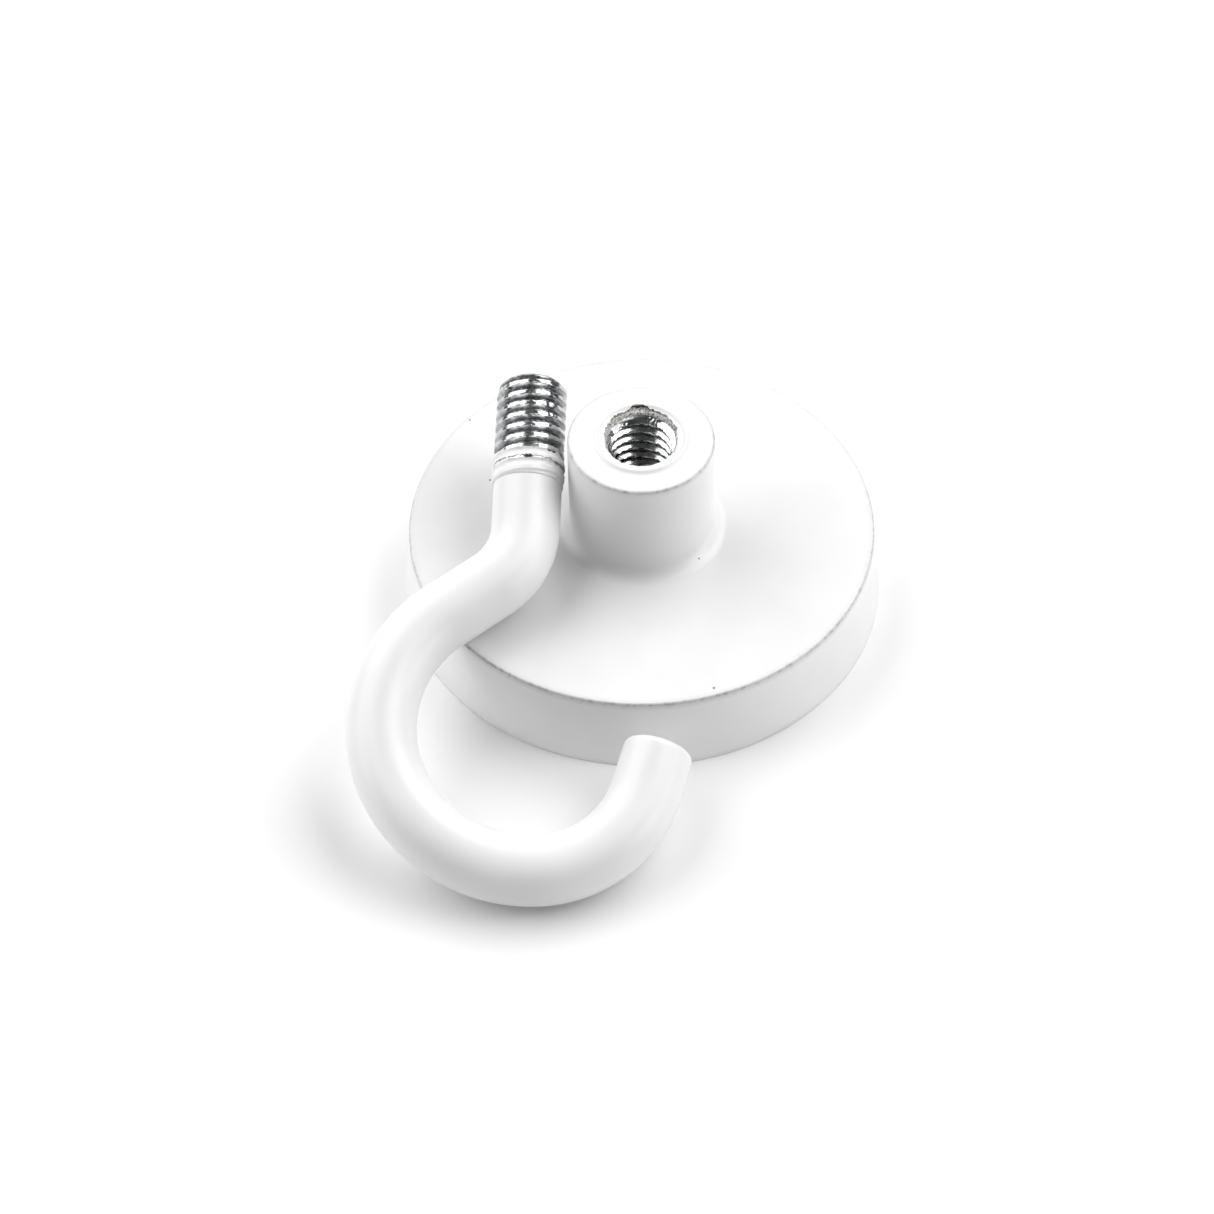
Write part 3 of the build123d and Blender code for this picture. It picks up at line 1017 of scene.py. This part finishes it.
@dataclass
class Hook:
    """Bent rod with a rolled thread, and its coating, in the hook's own plane, then laid in place."""

    rod_r: float = 2.735
    coat: float = 0.14
    thread_len: float = 9.4
    bare_len: float = 7.2
    pitch: float = 1.0
    major_r: float = 2.98
    root_r: float = 2.45
    crest_land: float = 0.36
    thread_phase: float = 0.2
    tip_chamfer: float = 0.55
    shank_top: float = 31.06
    back_bend_r: float = 6.8
    back_bend: float = 51.7
    bow_r: float = 12.03
    bow_set: float = 1.15
    bow_turn: float = 275.4
    nose_r: float = 9.7
    nose_end: float = 345.1
    nose_len: float = 3.75
    nose_edge: float = 0.5
    yaw: float = -2.0
    lean: float = 17.3024
    twist: float = 5.5
    lies_at: tuple[float, float, float] = (-10.27056, -21.9, 6.72845)

    def place(self) -> Matrix:
        """Where the loose hook lies: from its own plane to the frame, in millimetres.

        Returns:
            The matrix.
        """
        return (Matrix.Translation(self.lies_at)
                @ Matrix.Rotation(math.radians(self.yaw), 4, "Z")
                @ Matrix.Rotation(math.radians(self.lean), 4, "X")
                @ Matrix.Rotation(math.radians(self.twist), 4, "Y"))

    def bend_y(self) -> float:
        """Height on the shank where it starts to turn aside."""
        return (self.bow_r + self.back_bend_r) * math.sin(math.radians(self.back_bend)) \
            + self.lean_len() * math.cos(math.radians(self.back_bend))

    def lean_len(self) -> float:
        """Length of the straight run between the two bends.

        Returns:
            The length in millimetres.
        """
        turn = math.radians(self.back_bend)
        side = self.bow_r * math.cos(turn) - self.bow_set - self.back_bend_r * (1 - math.cos(turn))
        return side / math.sin(turn)

    def follow(self, work: Workpiece, step: float) -> None:
        """Draws a ring from the foot of the thread to the cut end.

        Args:
            work: The piece, its ring at the foot of the thread, facing down the shank.
            step: Length between rings on the bends, in millimetres.
        """
        run = work.centre.y - self.bend_y()
        for _ in range(8):
            work.draw((0.0, -run / 8, 0.0), work.radius)
        turn = math.radians(self.back_bend)
        steps = round(self.back_bend_r * turn / step)
        work.bend((-self.back_bend_r, self.bend_y()), -self.back_bend, steps)
        lean = Vector((-math.sin(turn), -math.cos(turn), 0.0)) * self.lean_len() / 3
        for _ in range(3):
            work.draw(lean, work.radius)
        sweep = self.bow_turn - 180 + self.back_bend
        work.bend((self.bow_set, 0.0), sweep, round(self.bow_r * math.radians(sweep) / step))
        swing = math.radians(self.bow_turn)
        offset = self.bow_r - self.nose_r
        centre = (self.bow_set + offset * math.cos(swing), offset * math.sin(swing))
        sweep = self.nose_end - self.bow_turn
        work.bend(centre, sweep, round(self.nose_r * math.radians(sweep) / step))

    def round_nose(self, work: Workpiece, length: float, edge: float) -> None:
        """Draws the straight end, rounds its rim and closes it.

        Args:
            work: The piece, its ring at the end of the last bend.
            length: Straight length to the cut face.
            edge: Rounding radius of the rim.
        """
        end = math.radians(self.nose_end)
        ahead = Vector((-math.sin(end), math.cos(end), 0.0))
        full = work.radius
        for _ in range(8):
            work.draw(ahead * (length - edge) / 8, full)
        reached = 0.0
        for i in range(1, 9):
            angle = math.radians(90 * i / 8)
            work.draw(ahead * (edge * math.sin(angle) - reached), full - edge * (1 - math.cos(angle)))
            reached = edge * math.sin(angle)
        for share, dome in ((0.8, 0.02), (0.5, 0.02), (0.2, 0.01)):
            work.draw(ahead * dome, full * share)
        work.close_end()

    def groove_share(self, turn: np.ndarray, depth: np.ndarray) -> np.ndarray:
        """How deep the groove is, 0 on the crest and 1 in the root.

        Args:
            turn: Angle round the shank, from +X towards -Z.
            depth: Distance from the tip.

        Returns:
            The share of the groove's depth.
        """
        climb = self.pitch * turn / (2 * math.pi)
        offset = (depth - self.thread_phase + climb + self.pitch / 2) % self.pitch
        gap = np.abs(offset - self.pitch / 2)
        mouth = (self.pitch - self.crest_land) / 2
        return np.clip((mouth - gap) / (mouth - 0.1), 0, 1)

    def shape_thread(self, places: np.ndarray) -> np.ndarray:
        """Rolls the thread: flanks, bruised crests, a chamfered tip and a run-out onto the rod.

        Args:
            places: N by 3 places in millimetres.

        Returns:
            The same places, moved.
        """
        x, y, z = places.T
        radius = np.maximum(np.hypot(x, z), 1e-6)
        turn = np.arctan2(-z, x)
        depth = self.shank_top - y
        threaded = (depth < self.thread_len - 0.02) & (radius > self.rod_r - 0.4) & (y > self.bend_y())
        share = self.groove_share(turn, depth)
        bruise = np.clip(ragged(places, 0.9, 51.0) - 0.2, 0, 1) * 0.16
        nick = np.clip(ragged(places, 0.3, 57.0) - 0.42, 0, 1) * 0.14
        crest = self.major_r - (bruise + nick) * (1 - share) ** 2
        made = crest - (self.major_r - self.root_r) * share + 0.004 * ragged(places, 0.3, 61.0)
        tip = self.major_r - self.tip_chamfer + depth
        foot = self.rod_r + 2 * (self.thread_len - depth)
        made = np.minimum(np.minimum(made, tip), foot)
        start = np.clip((depth - 0.15) / 0.5, 0, 1)
        blank = np.minimum(self.major_r - 0.12, tip)
        made = blank + (made - blank) * start
        new_r = np.where(threaded, made, radius)
        return np.stack([x * new_r / radius, y, z * new_r / radius], 1)

    def make_rod(self, material: bpy.types.Material) -> bpy.types.Object:
        """Steel rod: one ring drawn from the tip down the thread and round the bends.

        Args:
            material: Its finish.

        Returns:
            The finished object.
        """
        work = Workpiece("bent_threaded_rod", 176)
        tilt = math.radians(90)
        work.start(self.major_r - self.tip_chamfer, (0.0, self.shank_top, 0.0), tilt)
        rings = 240
        for _ in range(rings):
            work.draw((0.0, -self.thread_len / rings, 0.0), self.rod_r)
        self.follow(work, 0.6)
        self.round_nose(work, self.nose_len, self.nose_edge)
        work.select(lambda p: p[:, 1] > self.shank_top - 1e-4)
        work.close_end()
        work.face_outwards()
        work.reshape(self.shape_thread)
        places = work.places()
        depth = self.shank_top - places[:, 1]
        share = self.groove_share(np.arctan2(-places[:, 2], places[:, 0]), depth)
        on_thread = (depth > 0.3) & (depth < self.thread_len)
        # Painted shade: the root mask darkens the thread's roots; the rest of the rod gets a quarter of it.
        work.mark("root", np.where(on_thread, np.maximum(share - 0.45, 0) * 1.9, 0.25))
        work.mark("raw", np.zeros(len(places)))
        self.lay(work)
        return work.finish(material, Body.HOOK, "hook_rod")

    def lay(self, work: Workpiece) -> None:
        """Lays the finished mesh in its place in the frame.

        Args:
            work: The piece, modelled in the hook's own plane.
        """
        bpy.ops.object.mode_set(mode="OBJECT")
        place = self.place()
        place.translation *= MM
        work.piece.data.transform(place)
        work.reshape(lambda p: np.column_stack([p[:, :2], np.maximum(p[:, 2], 0.0)]))

    def shape_coat(self, places: np.ndarray) -> np.ndarray:
        """Lets the coating follow the covered turns and end in a torn edge.

        Args:
            places: N by 3 places in millimetres.

        Returns:
            The same places, moved.
        """
        x, y, z = places.T
        radius = np.maximum(np.hypot(x, z), 1e-6)
        turn = np.arctan2(-z, x)
        depth = self.shank_top - y
        covered = (depth < self.thread_len + 0.3) & (y > self.bend_y())
        edge = self.bare_len - 0.1 + 0.3 * round_noise(turn, 7, 71.0) + 0.14 * round_noise(turn, 30, 75.0)
        span = self.thread_len - 1.0 - self.bare_len
        share = np.clip((self.thread_len - 1.0 - depth) / span, 0, 1.2)
        new_depth = np.where(covered, depth + share * (edge - self.bare_len), depth)
        full = self.rod_r + self.coat
        groove = self.groove_share(turn, new_depth)
        crest = self.major_r + 0.09 + 0.03 * ragged(places, 0.7, 77.0)
        turns = crest - 0.11 * groove ** 0.8
        foot = full + 1.2 * np.maximum(self.thread_len + 0.15 - new_depth, 0)
        soft = 0.05
        made = -soft * np.logaddexp(-turns / soft, -foot / soft)
        made = np.where(new_depth > self.thread_len + 0.1, full, made)
        new_r = np.where(covered, made, radius)
        new_r = new_r + np.where(covered, 0.015 * ragged(places, 0.35, 79.0), 0.0)
        wander = 0.012 * ragged(places, 3.0, 81.0)
        keep = y > self.bend_y()
        scale = np.where(keep, (new_r + wander) / radius, 1.0)
        lift = np.where(keep, 0.0, wander)
        return np.stack([x * scale, self.shank_top - new_depth, z * scale + lift * np.sign(z)], 1)

    def torn(self, centres: np.ndarray) -> np.ndarray:
        """Faces that the tear takes away: a broken line one turn below the coating's edge.

        Args:
            centres: N by 3 centres of faces in millimetres.

        Returns:
            True for each face that goes.
        """
        x, y, z = centres.T
        turn = np.arctan2(-z, x)
        depth = self.shank_top - y
        line_at = self.bare_len + 0.8 + 0.12 * round_noise(turn, 8, 91.0)
        width = 0.12 * (round_noise(turn, 6, 93.0) + 0.9) + 0.12 * round_noise(turn, 38, 95.0)
        return (np.abs(depth - line_at) < width) & (y > self.bend_y())

    def make_coat(self, material: bpy.types.Material) -> bpy.types.Object:
        """Coating over the rod: one skin drawn along it, torn where the thread broke it.

        Args:
            material: Its finish.

        Returns:
            The finished object.
        """
        full = self.rod_r + self.coat
        work = Workpiece("hook_powder_coat", 144)
        work.start(full, (0.0, self.shank_top - self.bare_len, 0.0), math.radians(90))
        run = self.thread_len + 0.2 - self.bare_len
        rings = 52
        for _ in range(rings):
            work.draw((0.0, -run / rings, 0.0), full)
        self.follow(work, 0.45)
        self.round_nose(work, self.nose_len + self.coat, self.nose_edge + self.coat)
        work.face_outwards()
        work.turn_out(lambda face: face.center.z > self.rod_r * 0.9 * MM)
        work.reshape(self.shape_coat)
        work.select(self.torn, faces=True)
        bpy.ops.mesh.delete(type="FACE")
        bpy.ops.object.mode_set(mode="OBJECT")
        places = work.places()
        work.mark("thin_paint_and_edge_shade_mask", self.bare_map(places))
        work.thicken(0.1)
        self.lay(work)
        return work.finish(material, Body.HOOK, "hook_coating")

    def bare_map(self, places: np.ndarray) -> np.ndarray:
        """Where the coating is broken or thin: at its torn edge, on the crests and by the tear.

        Args:
            places: N by 3 places in millimetres.

        Returns:
            How broken the coating is at each place, 0 where it is whole.
        """
        x, y, z = places.T
        turn = np.arctan2(-z, x)
        depth = self.shank_top - y
        near = (depth < self.thread_len) & (y > self.bend_y())
        scuff = np.clip(ragged(places, 0.5, 97.0) - 0.1, 0, 1) * 1.2
        crest = (1 - self.groove_share(turn, depth)) * scuff
        return np.where(near, crest * np.clip((8.9 - depth) / 0.5, 0, 1), 0.0)

    def build(self) -> None:
        """Makes and dresses the hook's pieces."""
        turn = self.place().to_euler("XYZ")
        steel = ThreadSteel("rolled_zinc_plated_thread", centre=self.lies_at, turn=tuple(turn),
                            streak=(1.0, 9.0, 1.0))
        self.make_rod(steel.build())
        paint = PowderCoat("white_polyester_powder_coat_hook", peel_mm=2.2, peel_depth=0.005,
                           specks=((-14.2, -4.6, 12.0, 0.09), (-6.9, 0.9, 15.6, 0.14)))
        self.make_coat(paint.build())


# --------------------------------------------------------------------------- the studio


@dataclass(frozen=True)
class Softbox:
    """One soft rectangular light."""

    name: str
    stands: tuple[float, float, float]
    aim: tuple[float, float, float]
    size: tuple[float, float]
    watts: float

    def hang(self) -> None:
        """Adds the light and turns it to its aim."""
        data = bpy.data.lights.new(self.name, "AREA")
        data.shape = "RECTANGLE"
        data.size, data.size_y = self.size
        data.energy = self.watts
        lamp = bpy.data.objects.new(self.name, data)
        bpy.context.scene.collection.objects.link(lamp)
        lamp.location = self.stands
        lamp.rotation_euler = (Vector(self.aim) - Vector(self.stands)).to_track_quat("-Z", "Y").to_euler()


@dataclass
class Studio:
    """Plain pale floor, soft lights and the camera, in metres."""

    floor_size: float = 6.0
    eye: tuple[float, float, float] = (0.0, -0.161255, 0.186942)
    looks_down: float = 49.833
    looks_right: float = -0.711
    roll: float = -0.250
    lens: float = 83.235
    sensor: float = 36.0

    def lay_floor(self) -> None:
        """Lays the floor that the pot and the hook rest on."""
        bpy.ops.object.select_all(action="DESELECT")
        bpy.ops.mesh.primitive_plane_add(size=self.floor_size)
        floor = bpy.context.active_object
        floor.name = "floor"
        bpy.ops.object.mode_set(mode="EDIT")
        bpy.ops.mesh.subdivide(number_cuts=3)
        bpy.ops.object.mode_set(mode="OBJECT")
        floor.data.materials.append(MattBoard("white_matt_board").build())

    def hang_lights(self) -> None:
        """Hangs the softboxes and sets the room's own dim light."""
        for box in (
            Softbox("left_softbox", (-0.31, 0.14, 0.33), (0.0, 0.03, 0.0), (0.6, 0.46), 2.28),
            Softbox("right_softbox", (0.26, 0.14, 0.38), (0.0, 0.03, 0.0), (0.6, 0.34), 2.28),
            Softbox("low_right_softbox", (0.42, -0.12, 0.13), (0.0, 0.0, 0.01), (0.28, 0.18), 0.62),
            Softbox("low_left_softbox", (-0.45, -0.03, 0.1), (0.0, 0.0, 0.01), (0.3, 0.18), 0.36),
        ):
            box.hang()
        world = bpy.data.worlds.new("room")
        bpy.context.scene.world = world
        world.use_nodes = True
        tree = world.node_tree
        tree.nodes.clear()
        seen = add_node(tree, Kind.RAY).node.outputs["Is Camera Ray"]
        room = add_node(tree, Kind.SKY, {"Color": "#FFFFFF", "Strength": 0.085})
        backdrop = add_node(tree, Kind.SKY, {"Color": "#FFFFFF", "Strength": 1.0})
        mixed = add_node(tree, Kind.SKY_MIX, links={0: seen, 1: room, 2: backdrop})
        add_node(tree, Kind.SKY_OUTPUT, links={"Surface": mixed})

    def set_camera(self) -> None:
        """Sets up the camera on its stand."""
        data = bpy.data.cameras.new("camera")
        data.lens = self.lens
        data.sensor_width = self.sensor
        data.clip_start, data.clip_end = 0.01, 20.0
        camera = bpy.data.objects.new("camera", data)
        bpy.context.scene.collection.objects.link(camera)
        camera.matrix_world = (Matrix.Translation(self.eye)
                               @ Matrix.Rotation(math.radians(90 - self.looks_down), 4, "X")
                               @ Matrix.Rotation(math.radians(-self.looks_right), 4, "Y")
                               @ Matrix.Rotation(math.radians(self.roll), 4, "Z"))
        bpy.context.scene.camera = camera

    def build(self) -> None:
        """Sets up floor, lights and camera."""
        self.set_camera()
        self.lay_floor()
        self.hang_lights()
        bpy.context.scene.view_settings.view_transform = "Standard"
        log.info("studio: floor, lights and camera stand")


def main() -> None:
    """Builds the pot, the hook and the studio."""
    logging.basicConfig(level=logging.INFO, format="%(message)s")
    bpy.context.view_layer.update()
    Studio().build()
    Pot().build()
    Hook().build()


if __name__ == "__main__":
    main()
